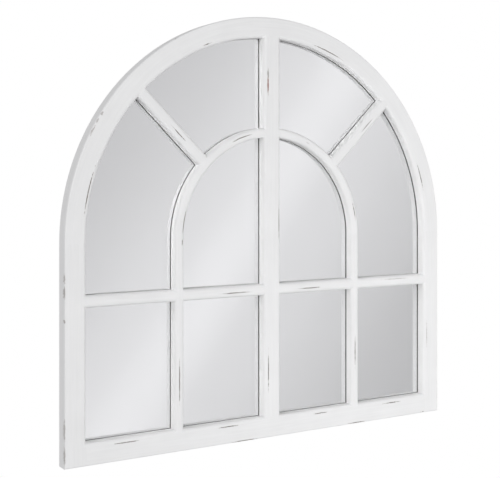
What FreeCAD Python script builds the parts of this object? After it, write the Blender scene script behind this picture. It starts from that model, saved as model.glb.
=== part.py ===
"""Arched window mirror: a painted wooden window-pane frame on one sheet of mirror glass.

Frame of the part: X to the viewer's right, front of the mirror towards -Y, +Z up.
The origin lies on the wall, under the middle of the bottom edge. All sizes are in mm.
"""
import FreeCAD, Part
import math
import os
import re
import Sketcher

Vector = FreeCAD.Vector
Rotation = FreeCAD.Rotation
Placement = FreeCAD.Placement

FOOT_TABS = 4
SIDE_TABS = 2
ARCH_TABS = 7
SHOULDER_STEPS = 3      # straight steps that stand for the quarter circle of a turned shoulder

doc = FreeCAD.newDocument("arched_window_mirror")

# ---------------------------------------------------------------------------
# Driving dimensions
# ---------------------------------------------------------------------------
SIZES = [
    # the frame's outline and face
    ("overall_width", 711.0),
    ("springing_height", 324.5),      # bottom edge to the centre of the arch
    ("frame_face", 33.5),             # stiles and arch, seen from the front
    ("rail_face", 33.5),
    ("frame_depth", 22.0),
    ("segment_angle", 60.0),          # each of the three pieces of the arch
    ("round_over", 6.0),              # radius on the arrises that look into the lights
    ("outer_round_over", 2.5),        # radius on the outline's front arris
    # the bars in front of the glass
    ("bar_depth", 15.0),              # front face to the glass
    ("mullion_width", 32.0),
    ("leg_width", 16.0),              # the inner legs and the inner arch
    ("leg_centre", 169.0),            # middle of a leg from the middle of the mirror
    ("transom_width", 18.0),
    ("transom_centre", 239.0),
    ("spoke_width", 19.5),
    ("spoke_angle", 44.0),            # up from the springing line
    # glass, backing board and the tabs that hold them
    ("recess_overlap", 8.0),          # how far the recess runs under the face
    ("glass_thickness", 3.0),
    ("glass_edge_gap", 1.0),
    ("board_thickness", 2.5),
    ("board_edge_gap", 0.5),
    ("tab_length", 16.0),
    ("tab_width", 8.0),
    ("tab_thickness", 0.5),
    ("tab_bite", 8.0),                # the length driven into the wood
    ("tab_clearance", 0.05),
    # joinery
    ("dowel_diameter", 6.0),
    ("dowel_bite", 12.0),
    ("rail_dowel_diameter", 8.0),
    ("rail_dowel_bite", 18.0),
    ("rail_dowel_spacing", 13.0),
    ("tenon_thickness", 6.0),
    ("tenon_width", 14.0),
    ("tenon_bite", 18.0),
    ("joinery_setback", 10.0),        # front face to the middle of tenons and rail dowels
    ("joint_clearance", 0.1),         # all round a dowel, tenon or screw
    ("joint_end_gap", 1.0),           # left for glue at the end of each hole
    ("dowel_chamfer", 0.8),
    # wall side
    ("bumper_height", 5.0),
    ("bumper_diameter", 12.0),
    ("bumper_round", 1.5),            # its shoulder on the wall side
    ("bumper_inset", 13.0),           # middle of a bumper from the two outer edges
    ("hanger_angle", 28.0),           # where the hangers sit, up from the springing line
    ("strap_width", 10.0),
    ("strap_length", 30.0),
    ("strap_sheet", 0.9),             # the strap is this sheet, folded double
    ("ring_wire", 2.5),
    ("ring_width", 16.0),             # to the middle of the wire
    ("ring_length", 16.5),            # pivot to the far side, to the middle of the wire
    ("ring_corner", 2.5),
    ("ring_clearance", 0.1),
    ("ring_rest_gap", 0.15),
    ("screw_diameter", 3.5),
    ("screw_length", 16.0),
    ("screw_head_diameter", 6.5),
    ("screw_head_height", 1.9),
    ("screw_head_round", 1.3),
    ("first_screw", 9.0),             # from the pivot down the strap
    ("screw_spacing", 13.5),
]

sheet = doc.addObject("Spreadsheet::Sheet", "sizes")
for row, (alias, value) in enumerate(SIZES, start=1):
    sheet.set("A%d" % row, alias)
    sheet.set("B%d" % row, str(value))
    sheet.setAlias("B%d" % row, alias)
doc.recompute()


def size(alias):
    """The number in the sheet's cell of that name."""
    return float(getattr(sheet, alias))


def bind(thing, **formulas):
    """Tie properties of an object to the sheet. A name with _at_ stands for a dotted path."""
    for name, formula in formulas.items():
        path = name.replace("_at_", ".")
        thing.setExpression(path, re.sub(r"\b([a-z]+_[a-z_]+)\b", r"sizes.\1", formula))
    return thing


FRONT = "-(bumper_height + frame_depth)"
BACK = "-bumper_height"
GLASS_FRONT = "-(bumper_height + frame_depth - bar_depth)"
ARCH_OUTER = "overall_width / 2"
ARCH_INNER = "(overall_width / 2 - frame_face)"

ACROSS = Rotation(Vector(1, 0, 0), 90)      # turns a part's own Z axis to point out of the front
OVERRUN = "2 * round_over"                  # how far a bar is run on into the piece that it meets
TINY = 1e-4


# ---------------------------------------------------------------------------
# Blanks: the wood before the frame is glued up
# ---------------------------------------------------------------------------
def box(name, **formulas):
    """A straight blank. Its corner and sides are formulas of the sheet's sizes."""
    return bind(doc.addObject("Part::Box", name), **formulas)


def disc(name, radius, back, thickness, angle="360"):
    """A cylinder round the arch's centre, or a sector of one that starts at its right-hand end."""
    blank = doc.addObject("Part::Cylinder", name)
    blank.Placement = Placement(Vector(0, 0, 0), ACROSS)
    return bind(blank, Radius=radius, Height=thickness, Angle=angle,
                Placement_at_Base_at_y=back, Placement_at_Base_at_z="springing_height")


def cut(name, base, tool):
    result = doc.addObject("Part::Cut", name)
    result.Base = base
    result.Tool = tool
    return result


def stile_blank(side, corner_x):
    return box(side + "_stile_blank", Length="frame_face", Width="frame_depth", Height="springing_height",
               Placement_at_Base_at_x=corner_x, Placement_at_Base_at_y=FRONT)


def arch_blank(name, start):
    """One of the curved pieces of the frame, sawn from a board: a sector of a ring."""
    outer = disc(name + "_outer", ARCH_OUTER, BACK, "frame_depth", "segment_angle")
    outer.Placement.Rotation = ACROSS.multiply(Rotation(Vector(0, 0, 1), start))
    inner = disc(name + "_inner", ARCH_INNER, BACK, "frame_depth")
    return cut(name + "_blank", outer, inner)


def bar_blank(name, **formulas):
    """A bar's blank, flush with the front of the frame and as deep as the glass allows."""
    return box(name, Width="bar_depth", Placement_at_Base_at_y=FRONT, **formulas)


def coped(name, blank, *tools):
    """Shape a blank's ends to the round pieces that it meets."""
    result = blank
    for number, tool in enumerate(tools, start=1):
        result = cut("%s_cope_%d" % (name, number), result, tool)
    return result


def outer_frame_blanks():
    turn = size("segment_angle")
    rail = box("bottom_rail_blank", Length="overall_width - 2 * frame_face", Width="frame_depth",
               Height="rail_face", Placement_at_Base_at_x="-" + ARCH_INNER,
               Placement_at_Base_at_y=FRONT)
    return {
        "left_stile": stile_blank("left", "-overall_width / 2"),
        "right_stile": stile_blank("right", ARCH_INNER),
        "bottom_rail": rail,
        "right_arch": arch_blank("right_arch", 0),
        "crown_arch": arch_blank("crown_arch", turn),
        "left_arch": arch_blank("left_arch", 2 * turn),
    }


def upright_blanks(outer_ring):
    """The middle mullion, which runs up to the crown, and the two inner legs."""
    mullion = bar_blank("centre_mullion_blank", Length="mullion_width",
                        Height="springing_height + overall_width / 2 - rail_face",
                        Placement_at_Base_at_x="-mullion_width / 2",
                        Placement_at_Base_at_z="rail_face")
    blanks = {"centre_mullion": coped("centre_mullion", mullion, outer_ring)}
    for side, sign in (("left", "-"), ("right", "")):
        blanks[side + "_inner_leg"] = bar_blank(
            side + "_inner_leg_blank", Length="leg_width", Height="springing_height - rail_face",
            Placement_at_Base_at_x=sign + "leg_centre - leg_width / 2",
            Placement_at_Base_at_z="rail_face")
    return blanks


def inner_arch_blanks(mullion):
    """The inner arch springs from the legs and dies into the mullion from both sides."""
    blanks = {}
    for side, start in (("right", 0), ("left", 90)):
        name = side + "_inner_arch"
        outer = disc(name + "_outer", "leg_centre + leg_width / 2", GLASS_FRONT, "bar_depth", "90")
        outer.Placement.Rotation = ACROSS.multiply(Rotation(Vector(0, 0, 1), start))
        inner = disc(name + "_inner", "leg_centre - leg_width / 2", GLASS_FRONT, "bar_depth")
        blanks[name] = coped(name, outer, inner, mullion)
    return blanks


def spoke_bar(side, start, end):
    """A bar on the arch's radius at the spoke angle, between two radii."""
    turn, outward, up = (1, "", "+") if side == "right" else (-1, "-", "-")
    spoke = doc.addObject("Part::Box", "%s_spoke_bar" % side)
    spoke.Placement.Rotation = Rotation(Vector(0, turn, 0), 90 - size("spoke_angle"))
    half = "spoke_width / 2"
    reach = "(%s)" % start
    return bind(
        spoke, Length="spoke_width", Width="bar_depth", Height="(%s) - %s" % (end, reach),
        Placement_at_Rotation_at_Angle="90 - spoke_angle",
        Placement_at_Base_at_x="%s%s * cos(spoke_angle) - %s * sin(spoke_angle)" % (outward, reach, half),
        Placement_at_Base_at_y=FRONT,
        Placement_at_Base_at_z="springing_height + %s * sin(spoke_angle) %s %s * cos(spoke_angle)"
                               % (reach, up, half))


def spoke_blanks(outer_ring):
    """Two spokes on the arch's radii, from the inner arch out to the frame."""
    inside = disc("inner_arch_disc", "leg_centre + leg_width / 2", GLASS_FRONT, "bar_depth")
    return {side + "_spoke": coped(side + "_spoke", spoke_bar(side, "leg_centre", ARCH_OUTER),
                                   outer_ring, inside) for side in ("left", "right")}


def transom_blanks():
    """The crossbar at the foot of the arched lights, in four lengths between the uprights."""
    leg_outer = "(leg_centre + leg_width / 2)"
    leg_inner = "(leg_centre - leg_width / 2)"
    spans = {
        "left_outer_transom": ("-" + ARCH_INNER, ARCH_INNER + " - " + leg_outer),
        "left_inner_transom": ("-" + leg_inner, leg_inner + " - mullion_width / 2"),
        "right_inner_transom": ("mullion_width / 2", leg_inner + " - mullion_width / 2"),
        "right_outer_transom": (leg_outer, ARCH_INNER + " - " + leg_outer),
    }
    blanks = {}
    for name, (start, length) in spans.items():
        blanks[name] = bar_blank(name + "_blank", Length=length, Height="transom_width",
                                 Placement_at_Base_at_x=start,
                                 Placement_at_Base_at_z="transom_centre - transom_width / 2")
    return blanks


# ---------------------------------------------------------------------------
# The glued-up frame: recess behind, rounded arrises in front
# ---------------------------------------------------------------------------
def fused(name, parts):
    result = doc.addObject("Part::MultiFuse", name)
    result.Shapes = parts
    result.Refine = True
    return result


def recess_cutter():
    """The room behind the bars for glass, board and tabs, routed after the frame is glued up."""
    reach = "(overall_width / 2 - frame_face + recess_overlap)"
    low = "(rail_face - recess_overlap)"
    straight = box("recess_straight", Length="2 * " + reach, Width="frame_depth - bar_depth",
                   Height="springing_height - " + low, Placement_at_Base_at_x="-" + reach,
                   Placement_at_Base_at_y=GLASS_FRONT, Placement_at_Base_at_z=low)
    arched = disc("recess_arched", reach, BACK, "frame_depth - bar_depth", "180")
    return fused("recess", [straight, arched])


def front_edges(shape, wanted):
    """Numbers of the edges in the front plane that the rule picks."""
    front = -(size("bumper_height") + size("frame_depth"))
    numbers = []
    for number, edge in enumerate(shape.Edges, start=1):
        reach = edge.BoundBox
        flat = abs(reach.YMin - front) < TINY and abs(reach.YMax - front) < TINY
        if flat and wanted(edge):
            numbers.append(number)
    return numbers


def rounded(name, blank, wanted, bit="round_over"):
    """Run a round-over bit along the front edges that the rule picks."""
    doc.recompute()
    result = doc.addObject("Part::Fillet", name)
    result.Base = blank
    radius = size(bit)
    result.Edges = [(number, radius, radius) for number in front_edges(blank.Shape, wanted)]
    return result


def lengthwise(edge):
    """A bar's long edges: everything longer than the widest bar is wide."""
    return edge.Length > 2 * size("frame_face")


def inside_outline(edge):
    """Edges that look into the lights, and not at the trimmed outside or at a hidden end."""
    middle = edge.valueAt((edge.FirstParameter + edge.LastParameter) / 2)
    reach = size("overall_width") / 2 - size("frame_face") + TINY
    beside = abs(middle.x) < reach and middle.z < size("springing_height") - TINY
    above = math.hypot(middle.x, middle.z - size("springing_height")) < reach
    return lengthwise(edge) and middle.z > TINY and (beside or above)


def half_ring(name, inner, outer, back, depth):
    """Half of a flat ring over the springing line."""
    return cut(name, disc(name + "_outside", outer, back, depth, "180"),
               disc(name + "_inside", inner, back, depth))


def moulded_bands():
    """Stiles, rail and arch with their inner arrises rounded, and too wide on the outside."""
    wide = "frame_face + " + OVERRUN
    pieces = []
    for side, corner in (("left", "-overall_width / 2 - " + OVERRUN), ("right", ARCH_INNER)):
        pieces.append(box(side + "_stile_band", Length=wide, Width="frame_depth",
                          Height="springing_height + " + OVERRUN, Placement_at_Base_at_x=corner,
                          Placement_at_Base_at_y=FRONT, Placement_at_Base_at_z="-" + OVERRUN))
    pieces.append(box("bottom_rail_band", Length="2 * (%s + %s)" % (ARCH_INNER, OVERRUN),
                      Width="frame_depth", Height="rail_face + " + OVERRUN,
                      Placement_at_Base_at_x="-(%s + %s)" % (ARCH_INNER, OVERRUN),
                      Placement_at_Base_at_y=FRONT, Placement_at_Base_at_z="-" + OVERRUN))
    pieces.append(half_ring("arch_band", ARCH_INNER, ARCH_OUTER + " + " + OVERRUN, BACK, "frame_depth"))
    return [rounded(piece.Name + "_rounded", piece, inside_outline) for piece in pieces]


def moulded_bars():
    """The bars, each run past its joints, so that round-overs meet in a mitre at every corner."""
    foot = "rail_face - " + OVERRUN
    span = "2 * (%s + %s)" % (ARCH_INNER, OVERRUN)
    bars = [
        bar_blank("mullion_bar", Length="mullion_width",
                  Height="springing_height + %s - rail_face + 2 * %s" % (ARCH_INNER, OVERRUN),
                  Placement_at_Base_at_x="-mullion_width / 2", Placement_at_Base_at_z=foot),
        bar_blank("transom_bar", Length=span, Height="transom_width",
                  Placement_at_Base_at_x="-(%s + %s)" % (ARCH_INNER, OVERRUN),
                  Placement_at_Base_at_z="transom_centre - transom_width / 2"),
        half_ring("inner_arch_bar", "leg_centre - leg_width / 2", "leg_centre + leg_width / 2",
                  GLASS_FRONT, "bar_depth"),
    ]
    for side, sign in (("left", "-"), ("right", "")):
        bars.append(bar_blank(side + "_leg_bar", Length="leg_width",
                              Height="springing_height - " + "(" + foot + ")",
                              Placement_at_Base_at_x=sign + "leg_centre - leg_width / 2",
                              Placement_at_Base_at_z=foot))
        bars.append(spoke_bar(side, "leg_centre", ARCH_INNER + " + " + OVERRUN))
    return [rounded(bar.Name + "_rounded", bar, lengthwise) for bar in bars]


def outline_plate():
    """The whole outline as one plate with its outer front arris rounded."""
    foot = box("outline_foot", Length="overall_width", Width="frame_depth", Height="springing_height",
               Placement_at_Base_at_x="-overall_width / 2", Placement_at_Base_at_y=FRONT)
    plate = fused("outline_square", [foot, disc("outline_head", ARCH_OUTER, BACK, "frame_depth", "180")])
    return rounded("outline_plate", plate, lambda edge: True, "outer_round_over")


def rounded_frame():
    """The glued-up frame: every front arris rounded, the outline's a little and each light's well."""
    grid = fused("frame_grid", moulded_bands() + moulded_bars())
    trimmed = doc.addObject("Part::Common", "trimmed_grid")
    trimmed.Base = grid
    trimmed.Tool = outline_plate()
    return cut("rounded_frame", trimmed, recess_cutter())


# ---------------------------------------------------------------------------
# Sketch helpers for the turned, folded and cut pieces
# ---------------------------------------------------------------------------
def body(name):
    return doc.addObject("PartDesign::Body", name)


def sketch_on(owner, name, role):
    """A sketch on one of the body's own origin planes."""
    sketch = owner.newObject("Sketcher::SketchObject", name)
    plane = [item for item in owner.Origin.OriginFeatures if item.Role == role][0]
    sketch.AttachmentSupport = [(plane, "")]
    sketch.MapMode = "FlatFace"
    return sketch


def pin_point(sketch, line, end, across, up):
    """Hold one point of a sketch at two formulas of the sheet, or at one and leave the other free."""
    for kind, axis, formula in (("DistanceX", -2, across), ("DistanceY", -1, up)):
        if formula is None:
            continue
        if formula == "0":
            sketch.addConstraint(Sketcher.Constraint("PointOnObject", line, end, axis))
            continue
        name = "%s_%d_%d" % (kind, line, end)
        start = sketch.getPoint(line, end)
        value = start.x if kind == "DistanceX" else start.y
        number = sketch.addConstraint(Sketcher.Constraint(kind, line, end, value))
        sketch.renameConstraint(number, name)
        bind(sketch, **{"Constraints_at_" + name: formula})


def evaluate(formula):
    """The value of a formula of the sheet's sizes, for a sketch's first guess."""
    words = {alias: size(alias) for alias, _ in SIZES}
    return float(FreeCAD.Units.Quantity(re.sub(r"\b([a-z]+_[a-z_]+)\b",
                                               lambda word: "(%.9f)" % words[word.group(1)], formula)))


def polygon(sketch, corners):
    """A closed outline of straight lines through corners given as formulas."""
    points = [Vector(evaluate(across), evaluate(up), 0) for across, up in corners]
    count = len(points)
    for number, start in enumerate(points):
        sketch.addGeometry(Part.LineSegment(start, points[(number + 1) % count]), False)
    for number in range(count):
        sketch.addConstraint(Sketcher.Constraint("Coincident", number, 2, (number + 1) % count, 1))
    for number, (across, up) in enumerate(corners):
        pin_point(sketch, number, 1, across, up)


def circle(sketch, across, up, radius):
    """A circle whose centre and radius are formulas."""
    centre = Vector(evaluate(across), evaluate(up), 0)
    number = sketch.addGeometry(Part.Circle(centre, Vector(0, 0, 1), evaluate(radius)), False)
    pin_point(sketch, number, 3, across, up)
    name = "radius_%d" % number
    held = sketch.addConstraint(Sketcher.Constraint("Radius", number, evaluate(radius)))
    sketch.renameConstraint(held, name)
    bind(sketch, **{"Constraints_at_" + name: radius})


def arched_outline(sketch, half_width, low):
    """Straight foot and sides with a half circle on top, centred on the arch's own centre."""
    reach, foot, rise = evaluate(half_width), evaluate(low), size("springing_height")
    corners = [(-reach, foot), (reach, foot), (reach, rise), (-reach, rise)]
    points = [Vector(across, up, 0) for across, up in corners]
    sketch.addGeometry(Part.LineSegment(points[0], points[1]), False)
    sketch.addGeometry(Part.LineSegment(points[1], points[2]), False)
    top = Part.Circle(Vector(0, rise, 0), Vector(0, 0, 1), reach)
    sketch.addGeometry(Part.ArcOfCircle(top, 0, math.pi), False)
    sketch.addGeometry(Part.LineSegment(points[3], points[0]), False)
    for first, second in ((0, 1), (1, 2), (2, 3), (3, 0)):
        sketch.addConstraint(Sketcher.Constraint("Coincident", first, 2, second, 1))
    pin_point(sketch, 0, 1, "-" + half_width, low)
    pin_point(sketch, 0, 2, half_width, low)
    pin_point(sketch, 2, 3, "0", "springing_height")
    pin_point(sketch, 1, 2, half_width, "springing_height")
    pin_point(sketch, 2, 2, None, "springing_height")


def pad(owner, name, sketch, length, midplane=False):
    feature = owner.newObject("PartDesign::Pad", name)
    feature.Profile = sketch
    feature.Midplane = midplane
    bind(feature, Length=length)
    sketch.Visibility = False
    return feature


def turned(owner, name, corners):
    """A solid of revolution round the body's own Z axis, from a half outline."""
    sketch = sketch_on(owner, name + "_outline", "XZ_Plane")
    polygon(sketch, corners)
    feature = owner.newObject("PartDesign::Revolution", name + "_turned")
    feature.Profile = sketch
    feature.ReferenceAxis = (sketch, ["V_Axis"])
    feature.Angle = 360
    return feature


def shoulder(radius, height, rounding):
    """The outline of a turned piece's rounded shoulder, from its side to its top."""
    corners = []
    for step in range(SHOULDER_STEPS + 1):
        turn = math.radians(90 * step / SHOULDER_STEPS)
        corners.append(("%s - %s * %.6f" % (radius, rounding, 1 - math.cos(turn)),
                        "%s - %s * %.6f" % (height, rounding, 1 - math.sin(turn))))
    return corners


def copies(name, master, places):
    """Like pieces made once and set in several places, as one group of separate solids."""
    shapes = []
    for place in places:
        shape = master.Shape.copy()
        shape.Placement = place.multiply(shape.Placement)
        shapes.append(shape)
    group = doc.addObject("Part::Feature", name)
    group.Shape = shapes[0] if len(shapes) == 1 else Part.makeCompound(shapes)
    return group


# ---------------------------------------------------------------------------
# Joinery: dowels at the butt joints, floating tenons in the arch
# ---------------------------------------------------------------------------
def dowel(name, diameter, length):
    """A plain dowel with chamfered ends, made about the middle of its length."""
    half = "(%s) / 2" % length
    radius = "%s / 2" % diameter
    owner = body(name)
    turned(owner, name, [("0", "-" + half), (radius + " - dowel_chamfer", "-" + half),
                         (radius, "-%s + dowel_chamfer" % half), (radius, half + " - dowel_chamfer"),
                         (radius + " - dowel_chamfer", half), ("0", half)])
    return owner


def drilling(name, diameter, length):
    """The hole that a dowel goes into: clear all round, with room for glue at both ends."""
    hole = doc.addObject("Part::Cylinder", name)
    bind(hole, Radius="%s / 2 + joint_clearance" % diameter, Height="%s + 2 * joint_end_gap" % length,
         Placement_at_Base_at_z="-(%s) / 2 - joint_end_gap" % length)
    return hole


def floating_tenon(name, thickness, width, length):
    """A flat tongue with round edges: its thickness lies front to back."""
    owner = body(name)
    sketch = sketch_on(owner, name + "_outline", "XY_Plane")
    reach = evaluate("(%s - (%s)) / 2" % (width, thickness))
    half = evaluate(thickness) / 2
    right = Part.Circle(Vector(reach, 0, 0), Vector(0, 0, 1), half)
    left = Part.Circle(Vector(-reach, 0, 0), Vector(0, 0, 1), half)
    sketch.addGeometry(Part.ArcOfCircle(right, -math.pi / 2, math.pi / 2), False)
    sketch.addGeometry(Part.LineSegment(Vector(reach, half, 0), Vector(-reach, half, 0)), False)
    sketch.addGeometry(Part.ArcOfCircle(left, math.pi / 2, 3 * math.pi / 2), False)
    sketch.addGeometry(Part.LineSegment(Vector(-reach, -half, 0), Vector(reach, -half, 0)), False)
    for first, second in ((0, 1), (1, 2), (2, 3), (3, 0)):
        sketch.addConstraint(Sketcher.Constraint("Tangent", first, 2, second, 1))
    pin_point(sketch, 0, 3, "(%s - (%s)) / 2" % (width, thickness), "0")
    pin_point(sketch, 2, 3, "-(%s - (%s)) / 2" % (width, thickness), "0")
    pin_point(sketch, 1, 1, "(%s - (%s)) / 2" % (width, thickness), "(%s) / 2" % thickness)
    pad(owner, name + "_length", sketch, length, midplane=True)
    return owner


def along(direction, middle):
    """Set a piece made about its own Z axis on a line in the plane of the frame."""
    return Placement(middle, Rotation(Vector(0, 0, 1), direction))


def on_arch(angle, radius, depth):
    """A point at an angle round the arch, a radius from its centre, and a depth along Y."""
    turn = math.radians(angle)
    return Vector(radius * math.cos(turn), depth, size("springing_height") + radius * math.sin(turn))


def peg_places():
    """Where each kind of dowel sits: its middle and its direction."""
    middle_of_bars = -(size("bumper_height") + size("frame_depth") - size("bar_depth") / 2)
    inner = size("overall_width") / 2 - size("frame_face")
    leg, rise = size("leg_centre"), size("springing_height")
    level, foot = size("transom_centre"), size("rail_face")
    crown = rise + math.sqrt(leg ** 2 - (size("mullion_width") / 2) ** 2)
    upright = Vector(0, 0, 1)
    level_line = Vector(1, 0, 0)
    ends = [(0, foot), (0, rise + inner), (-leg, foot), (leg, foot), (-leg, rise), (leg, rise)]
    spokes = []
    for angle in (size("spoke_angle"), 180 - size("spoke_angle")):
        turn = math.radians(angle)
        for radius in (inner, leg + size("leg_width") / 2):
            spokes.append(along(Vector(math.cos(turn), 0, math.sin(turn)),
                                on_arch(angle, radius, middle_of_bars)))
    return {
        "upright_dowels": [along(upright, Vector(across, middle_of_bars, up)) for across, up in ends],
        "spoke_dowels": spokes,
        "transom_end_dowels": [along(level_line, Vector(across, middle_of_bars, level))
                               for across in (-inner, inner)],
        "transom_leg_dowels": [along(level_line, Vector(across, middle_of_bars, level))
                               for across in (-leg, leg)],
        "mullion_dowels": [along(level_line, Vector(0, middle_of_bars, up)) for up in (level, crown)],
    }


def rail_peg_places():
    """Two dowels, one above the other, at each end of the bottom rail."""
    depth = -(size("bumper_height") + size("frame_depth") - size("joinery_setback"))
    inner = size("overall_width") / 2 - size("frame_face")
    middle = (size("rail_face") - size("recess_overlap")) / 2
    half = size("rail_dowel_spacing") / 2
    return [along(Vector(1, 0, 0), Vector(across, depth, middle + step))
            for across in (-inner, inner) for step in (-half, half)]


def tenon_places():
    """One tenon across each joint of the arch: at both springings and between its segments."""
    depth = -(size("bumper_height") + size("frame_depth") - size("joinery_setback"))
    radius = size("overall_width") / 2 - size("frame_face") / 2
    places = []
    joints = round(180 / size("segment_angle")) + 1
    for number in range(joints):
        angle = number * size("segment_angle")
        turn = Rotation(Vector(0, -1, 0), angle)
        places.append(Placement(on_arch(angle, radius, depth), turn))
    return places


def joinery():
    """Every dowel and tenon as a group, and the holes that they go into."""
    kinds = {
        "upright_dowels": ("dowel_diameter", "2 * dowel_bite"),
        "spoke_dowels": ("dowel_diameter", "2 * dowel_bite"),
        "transom_end_dowels": ("dowel_diameter", "2 * dowel_bite"),
        "transom_leg_dowels": ("dowel_diameter", "leg_width + 2 * dowel_bite"),
        "mullion_dowels": ("dowel_diameter", "mullion_width + 2 * dowel_bite"),
        "rail_dowels": ("rail_dowel_diameter", "2 * rail_dowel_bite"),
    }
    places = peg_places()
    places["rail_dowels"] = rail_peg_places()
    masters = {}
    for name, (diameter, length) in kinds.items():
        masters[name] = (dowel(name + "_pattern", diameter, length),
                         drilling(name + "_hole", diameter, length))
    places["floating_tenons"] = tenon_places()
    masters["floating_tenons"] = (
        floating_tenon("tenon_pattern", "tenon_thickness", "tenon_width", "2 * tenon_bite"),
        floating_tenon("tenon_mortise", "tenon_thickness + 2 * joint_clearance",
                       "tenon_width + 2 * joint_clearance", "2 * tenon_bite + 2 * joint_end_gap"))
    doc.recompute()
    groups = {}
    holes = []
    for name, (piece, hole) in masters.items():
        groups[name] = copies(name, piece, places[name])
        for number, place in enumerate(places[name], start=1):
            holes.append(copies("%s_hole_%d" % (name, number), hole, [place]))
    return groups, holes


# ---------------------------------------------------------------------------
# Glass, backing board and the tabs driven into the recess wall
# ---------------------------------------------------------------------------
def plate(name, gap, thickness, back):
    """An arched sheet that lies in the recess with a gap all round."""
    owner = body(name)
    sketch = sketch_on(owner, name + "_outline", "XZ_Plane")
    arched_outline(sketch, "(overall_width / 2 - frame_face + recess_overlap - %s)" % gap,
                   "rail_face - recess_overlap + %s" % gap)
    pad(owner, name + "_sheet", sketch, thickness)
    bind(owner, Placement_at_Base_at_y=back)
    return owner


def backing_tab():
    """A flat steel tab with a round nose; its square end is driven into the wood."""
    owner = body("tab_pattern")
    sketch = sketch_on(owner, "tab_outline", "XZ_Plane")
    nose = "tab_length - tab_bite - tab_width / 2"
    half = size("tab_width") / 2
    low, high = -size("tab_bite"), evaluate(nose)
    sketch.addGeometry(Part.LineSegment(Vector(-half, high, 0), Vector(-half, low, 0)), False)
    sketch.addGeometry(Part.LineSegment(Vector(-half, low, 0), Vector(half, low, 0)), False)
    sketch.addGeometry(Part.LineSegment(Vector(half, low, 0), Vector(half, high, 0)), False)
    round_end = Part.Circle(Vector(0, high, 0), Vector(0, 0, 1), half)
    sketch.addGeometry(Part.ArcOfCircle(round_end, 0, math.pi), False)
    for first, second in ((0, 1), (1, 2), (2, 3), (3, 0)):
        sketch.addConstraint(Sketcher.Constraint("Coincident", first, 2, second, 1))
    pin_point(sketch, 0, 2, "-tab_width / 2", "-tab_bite")
    pin_point(sketch, 1, 2, "tab_width / 2", "-tab_bite")
    pin_point(sketch, 3, 3, "0", nose)
    pin_point(sketch, 3, 1, "tab_width / 2", nose)
    pin_point(sketch, 3, 2, None, nose)
    pad(owner, "tab_sheet", sketch, "tab_thickness")
    return owner


def tab_slot():
    """The slit that a tab opens in the wall of the recess."""
    return box("tab_slot", Length="tab_width + 2 * tab_clearance",
               Width="tab_thickness + 2 * tab_clearance", Height="tab_bite + 2 * tab_clearance",
               Placement_at_Base_at_x="-tab_width / 2 - tab_clearance",
               Placement_at_Base_at_y="-tab_thickness - tab_clearance",
               Placement_at_Base_at_z="-tab_bite - tab_clearance")


def tab_places():
    """Tabs round the recess: four along the foot, two up each side, seven round the arch."""
    behind_board = -(size("bumper_height") + size("frame_depth") - size("bar_depth")
                     - size("glass_thickness") - size("board_thickness"))
    depth = behind_board + size("tab_thickness")
    reach = size("overall_width") / 2 - size("frame_face") + size("recess_overlap")
    low = size("rail_face") - size("recess_overlap")
    rise = size("springing_height")
    places = []
    for number in range(FOOT_TABS):
        across = reach * ((2 * number + 1) / FOOT_TABS - 1)
        places.append(Placement(Vector(across, depth, low), Rotation()))
    for number in range(SIDE_TABS):
        up = low + (rise - low) * (number + 0.5) / SIDE_TABS
        places.append(Placement(Vector(-reach, depth, up), Rotation(Vector(0, 1, 0), 90)))
        places.append(Placement(Vector(reach, depth, up), Rotation(Vector(0, 1, 0), -90)))
    for number in range(ARCH_TABS):
        angle = 180 * (number + 0.5) / ARCH_TABS
        places.append(Placement(on_arch(angle, reach, depth), Rotation(Vector(0, -1, 0), angle + 90)))
    return places


# ---------------------------------------------------------------------------
# Hanging hardware and bumpers
# ---------------------------------------------------------------------------
PIVOT_RISE = "(strap_sheet + ring_wire / 2 + ring_clearance)"


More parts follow.
